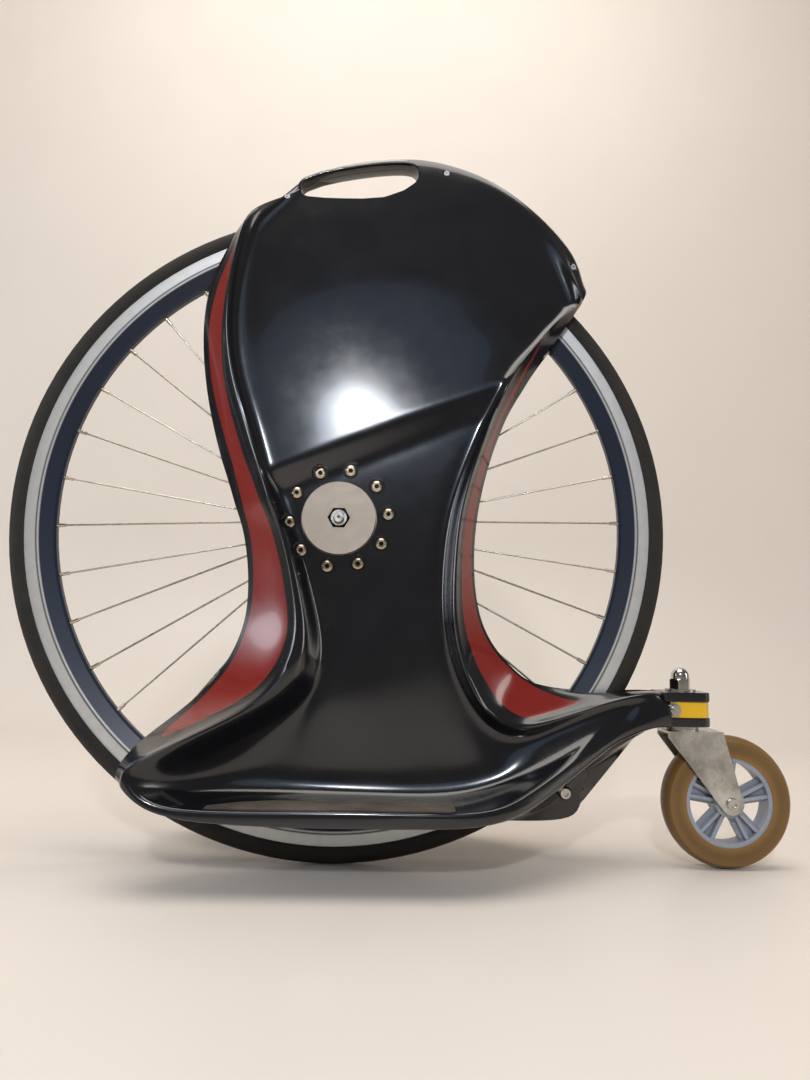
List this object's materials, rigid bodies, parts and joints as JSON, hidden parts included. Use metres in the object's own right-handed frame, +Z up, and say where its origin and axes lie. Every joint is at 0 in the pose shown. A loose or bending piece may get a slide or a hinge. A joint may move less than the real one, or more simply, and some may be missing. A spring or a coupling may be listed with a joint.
{
  "type": "one-wheeled kick scooter",
  "caption": "Large spoked wheel in a moulded two-part shell with a hand slot, footboards on both sides and a swivelling caster on a rear arm.",
  "frame": {"origin": "on the ground, at the middle of the overall box", "axes": "+Z up, +Y along the axle, +X from the big wheel towards the caster"},
  "size_m": [0.7961, 0.2332, 0.7377],
  "materials": {
    "tyre_rubber": "matte slick tread",
    "tube_rubber": "matte",
    "rim_metal": "satin blue-black with machined brake tracks",
    "rim_tape": "matte",
    "spoke_steel": "drawn stainless",
    "nipple_brass": "nickel plate",
    "hub_black": "black anodised",
    "bearing_steel": "ground steel",
    "fastener_steel": "stainless",
    "hub_alloy": "fine turned, dull",
    "shell_black": "polished moulding",
    "grip_tape": "gritty matte tape",
    "yellow_block": "smooth",
    "chrome_nut": "bright plate",
    "fork_zinc": "weathered zinc plate",
    "core_plastic": "satin moulding",
    "amber_urethane": "smooth translucent urethane"
  },
  "bodies": {
    "frame": {"axle": "fastener_steel", "axle_spacers": "fastener_steel", "axle_nuts": "fastener_steel", "hub_plate_right": "hub_alloy", "hub_plate_left": "hub_alloy", "hub_bolts_right": "fastener_steel", "hub_bolts_left": "fastener_steel", "shell_right": "shell_black", "shell_left": "shell_black", "grip_right": "grip_tape", "grip_left": "grip_tape", "cap_screws": "fastener_steel", "corner_bolt": "fastener_steel", "arm_core": "yellow_block", "arm_bolt": "fastener_steel", "arm_bolt_washers": "fastener_steel", "swivel_stem": "fastener_steel", "stem_washer": "fastener_steel", "dome_nut": "chrome_nut", "swivel_bearing": "fork_zinc"},
    "wheel": {"tyre": "tyre_rubber", "inner_tube": "tube_rubber", "rim": "rim_metal", "rim_tape": "rim_tape", "spokes": "spoke_steel", "nipples": "nipple_brass", "valve": "nipple_brass", "wheel_hub": "hub_black", "hub_bearings": "bearing_steel"},
    "caster_fork": {"caster_fork": "fork_zinc", "caster_axle": "fastener_steel"},
    "caster_wheel": {"caster_bearings": "bearing_steel", "caster_core": "core_plastic", "caster_tyre": "amber_urethane"}
  },
  "joints": [
    {"name": "wheel_spin", "type": "hinge", "parent": "frame", "child": "wheel", "pos_m": [-0.0621, 0, 0.336], "axis": [0, 1, 0], "continuous": true},
    {"name": "caster_swivel", "type": "hinge", "parent": "frame", "child": "caster_fork", "pos_m": [0.2894, 0, 0.136], "axis": [0, 0, 1], "range_deg": [-130, 130]},
    {"name": "caster_wheel_spin", "type": "hinge", "parent": "caster_fork", "child": "caster_wheel", "pos_m": [0.3331, 0, 0.065], "axis": [0, 1, 0], "continuous": true}
  ]
}
